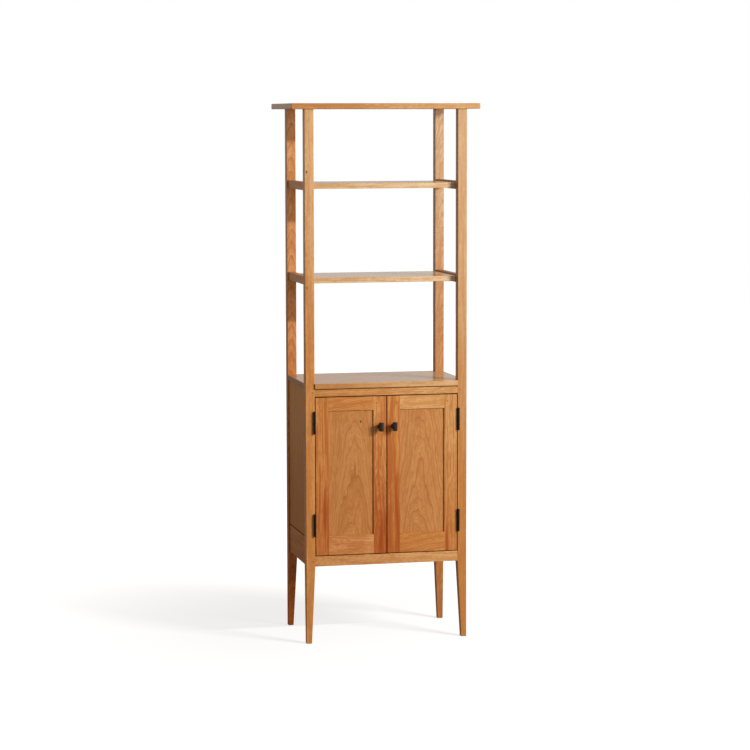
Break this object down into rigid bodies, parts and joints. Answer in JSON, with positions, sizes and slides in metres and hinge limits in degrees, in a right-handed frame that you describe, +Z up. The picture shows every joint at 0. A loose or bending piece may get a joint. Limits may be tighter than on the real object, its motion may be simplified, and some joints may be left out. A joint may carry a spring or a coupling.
{
  "type": "shelf cabinet",
  "caption": "Tall cherry etagere: square posts carry open shelves and an overhanging top above a base cabinet with hinged frame-and-panel doors and tapered legs.",
  "frame": {"origin": "on the floor under the middle of the whole piece, knobs and top overhang included", "axes": "+Z up, -Y towards the doors' front, +X to the right seen from the front"},
  "size_m": [0.658, 0.386, 1.85],
  "materials": {
    "cherry": "satin oil",
    "hinge_black": "black satin",
    "knob_bronze": "dark oil-rubbed",
    "steel": "plain",
    "brass": "plain"
  },
  "bodies": {
    "carcass": {"front_left_post": "cherry", "front_right_post": "cherry", "back_left_post": "cherry", "back_right_post": "cherry", "top_board": "cherry", "top_dowels": "cherry", "upper_shelf": "cherry", "upper_shelf_left_rail": "cherry", "upper_shelf_right_rail": "cherry", "lower_shelf": "cherry", "lower_shelf_left_rail": "cherry", "lower_shelf_right_rail": "cherry", "cabinet_deck": "cherry", "front_top_rail": "cherry", "front_bottom_rail": "cherry", "back_top_rail": "cherry", "back_bottom_rail": "cherry", "back_panel": "cherry", "left_side_panel": "cherry", "right_side_panel": "cherry", "left_side_bottom_rail": "cherry", "right_side_bottom_rail": "cherry", "cabinet_floor": "cherry", "deck_cleats": "cherry", "floor_cleats": "cherry", "cleat_screws": "steel", "frame_pegs": "cherry", "inner_shelf": "cherry", "shelf_pins": "brass", "door_stop": "cherry", "stop_magnets": "steel", "left_hinge_frame_leaves": "hinge_black", "right_hinge_frame_leaves": "hinge_black", "left_hinge_pins": "hinge_black", "right_hinge_pins": "hinge_black", "frame_hinge_screws": "hinge_black"},
    "left_door": {"left_door_hinge_stile": "cherry", "left_door_meeting_stile": "cherry", "left_door_top_rail": "cherry", "left_door_bottom_rail": "cherry", "left_door_panel": "cherry", "left_door_pegs": "cherry", "left_door_knob": "knob_bronze", "left_door_knob_screw": "steel", "left_door_strike": "steel", "left_door_hinge_leaves": "hinge_black", "left_door_hinge_screws": "hinge_black"},
    "right_door": {"right_door_hinge_stile": "cherry", "right_door_meeting_stile": "cherry", "right_door_top_rail": "cherry", "right_door_bottom_rail": "cherry", "right_door_panel": "cherry", "right_door_pegs": "cherry", "right_door_knob": "knob_bronze", "right_door_knob_screw": "steel", "right_door_strike": "steel", "right_door_hinge_leaves": "hinge_black", "right_door_hinge_screws": "hinge_black"}
  },
  "joints": [
    {"name": "left_door_hinge", "type": "hinge", "parent": "carcass", "child": "left_door", "pos_m": [-0.25375, -0.1715, 0.589], "axis": [0, 0, -1], "range_deg": [0, 170]},
    {"name": "right_door_hinge", "type": "hinge", "parent": "carcass", "child": "right_door", "pos_m": [0.25375, -0.1715, 0.589], "axis": [0, 0, 1], "range_deg": [0, 170]}
  ]
}
